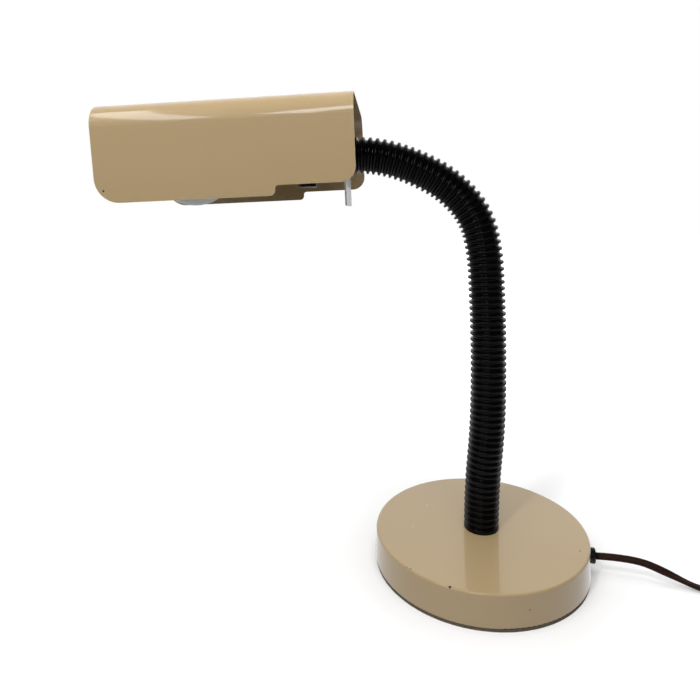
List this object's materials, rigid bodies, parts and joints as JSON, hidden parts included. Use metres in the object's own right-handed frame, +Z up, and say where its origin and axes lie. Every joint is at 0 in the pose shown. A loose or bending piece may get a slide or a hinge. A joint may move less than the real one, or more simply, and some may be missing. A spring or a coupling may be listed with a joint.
{
  "type": "gooseneck desk lamp",
  "caption": "Desk lamp with a heavy round base, a flexible ribbed gooseneck and a folded sheet-metal shade over a globe bulb and turn-knob socket.",
  "frame": {"origin": "centre of the base's flat underside", "axes": "+Z up, -X towards the shade's open tip, the neck and the shade's axis in the XZ plane"},
  "size_m": [0.6193, 0.3225, 0.4459],
  "materials": {
    "tan_paint": "glossy tan enamel, slightly worn",
    "felt": "dark felt pad",
    "cast_iron": "rough casting",
    "zinc": "zinc plated",
    "sleeve_plastic": "glossy black vinyl",
    "bush_plastic": "moulded black nylon",
    "cord_jacket": "brown vinyl two-wire jacket",
    "plug_plastic": "moulded brown vinyl",
    "tie_strap": "flat black strap",
    "brass": "plain brass",
    "bracket_paint": "light grey paint",
    "socket_metal": "drawn aluminium",
    "liner_fibre": "insulating fibre",
    "phenolic": "black phenolic",
    "steel": "turned steel",
    "opal_glass": "white opal glass"
  },
  "bodies": {
    "root": {"base_pad": "felt", "base_cover": "tan_paint", "base_weight": "cast_iron", "neck_foot": "zinc", "foot_washer": "zinc", "foot_nut": "zinc", "strain_relief": "bush_plastic", "base_lead": "cord_jacket", "cord_run": "cord_jacket", "cord_coil": "cord_jacket", "cord_tail": "cord_jacket", "cord_tie": "tie_strap", "plug_body": "plug_plastic", "plug_blades": "brass", "sleeve_01": "sleeve_plastic", "conduit_01": "zinc"},
    "neck_02": {"sleeve_02": "sleeve_plastic", "conduit_02": "zinc"},
    "neck_03": {"sleeve_03": "sleeve_plastic", "conduit_03": "zinc"},
    "neck_04": {"sleeve_04": "sleeve_plastic", "conduit_04": "zinc"},
    "neck_05": {"sleeve_05": "sleeve_plastic", "conduit_05": "zinc"},
    "neck_06": {"sleeve_06": "sleeve_plastic", "conduit_06": "zinc"},
    "neck_07": {"sleeve_07": "sleeve_plastic", "conduit_07": "zinc"},
    "neck_08": {"sleeve_08": "sleeve_plastic", "conduit_08": "zinc"},
    "neck_09": {"sleeve_09": "sleeve_plastic", "conduit_09": "zinc"},
    "neck_10": {"sleeve_10": "sleeve_plastic", "conduit_10": "zinc"},
    "neck_11": {"sleeve_11": "sleeve_plastic", "conduit_11": "zinc"},
    "head": {"sleeve_12": "sleeve_plastic", "conduit_12": "zinc", "neck_top_fitting": "zinc", "top_washer": "zinc", "top_nut": "zinc", "head_lead": "cord_jacket", "end_bracket": "bracket_paint", "bracket_rivets": "zinc", "shade": "tan_paint", "socket_cap": "socket_metal", "socket_shell": "socket_metal", "socket_liner": "liner_fibre", "socket_core": "phenolic", "screw_shell": "brass", "centre_contact": "brass", "bulb_glass": "opal_glass", "bulb_base": "socket_metal", "bulb_contact": "brass"},
    "switch": {"switch_shaft": "steel", "switch_knob": "phenolic"}
  },
  "joints": [
    {"name": "neck_bend_01", "type": "hinge", "parent": "root", "child": "neck_02", "pos_m": [0.00263, 0, 0.06909], "axis": [0, -1, 0], "range_deg": [-13, 8]},
    {"name": "neck_sway_02", "type": "hinge", "parent": "neck_02", "child": "neck_03", "pos_m": [0.00485, 0, 0.10532], "axis": [0.9962, 0, -0.0872], "range_deg": [-13, 13]},
    {"name": "neck_bend_03", "type": "hinge", "parent": "neck_03", "child": "neck_04", "pos_m": [0.00707, 0, 0.14155], "axis": [0, -1, 0], "range_deg": [-13, 8]},
    {"name": "neck_bend_04", "type": "hinge", "parent": "neck_04", "child": "neck_05", "pos_m": [0.0077, 0, 0.17784], "axis": [0, -1, 0], "range_deg": [-13, 8]},
    {"name": "neck_bend_05", "type": "hinge", "parent": "neck_05", "child": "neck_06", "pos_m": [0.00738, 0, 0.21414], "axis": [0, -1, 0], "range_deg": [-13, 8]},
    {"name": "neck_sway_06", "type": "hinge", "parent": "neck_06", "child": "neck_07", "pos_m": [0.00627, 0, 0.25042], "axis": [0.999, 0, 0.0436], "range_deg": [-13, 13]},
    {"name": "neck_bend_07", "type": "hinge", "parent": "neck_07", "child": "neck_08", "pos_m": [0.00453, 0, 0.28668], "axis": [0, -1, 0], "range_deg": [-13, 6]},
    {"name": "neck_bend_08", "type": "hinge", "parent": "neck_08", "child": "neck_09", "pos_m": [-0.00051, 0, 0.32258], "axis": [0, -1, 0], "range_deg": [-13, 6]},
    {"name": "neck_bend_09", "type": "hinge", "parent": "neck_09", "child": "neck_10", "pos_m": [-0.01683, 0, 0.3546], "axis": [0, -1, 0], "range_deg": [-13, 6]},
    {"name": "neck_sway_10", "type": "hinge", "parent": "neck_10", "child": "neck_11", "pos_m": [-0.04471, 0, 0.37759], "axis": [0.5, 0, 0.866], "range_deg": [-13, 13]},
    {"name": "neck_bend_11", "type": "hinge", "parent": "neck_11", "child": "head", "pos_m": [-0.07775, 0, 0.39247], "axis": [0, -1, 0], "range_deg": [-13, 6]},
    {"name": "switch_turn", "type": "hinge", "parent": "head", "child": "switch", "pos_m": [-0.16371, 0, 0.39759], "axis": [0.0255, 0, -0.9997], "continuous": true}
  ]
}
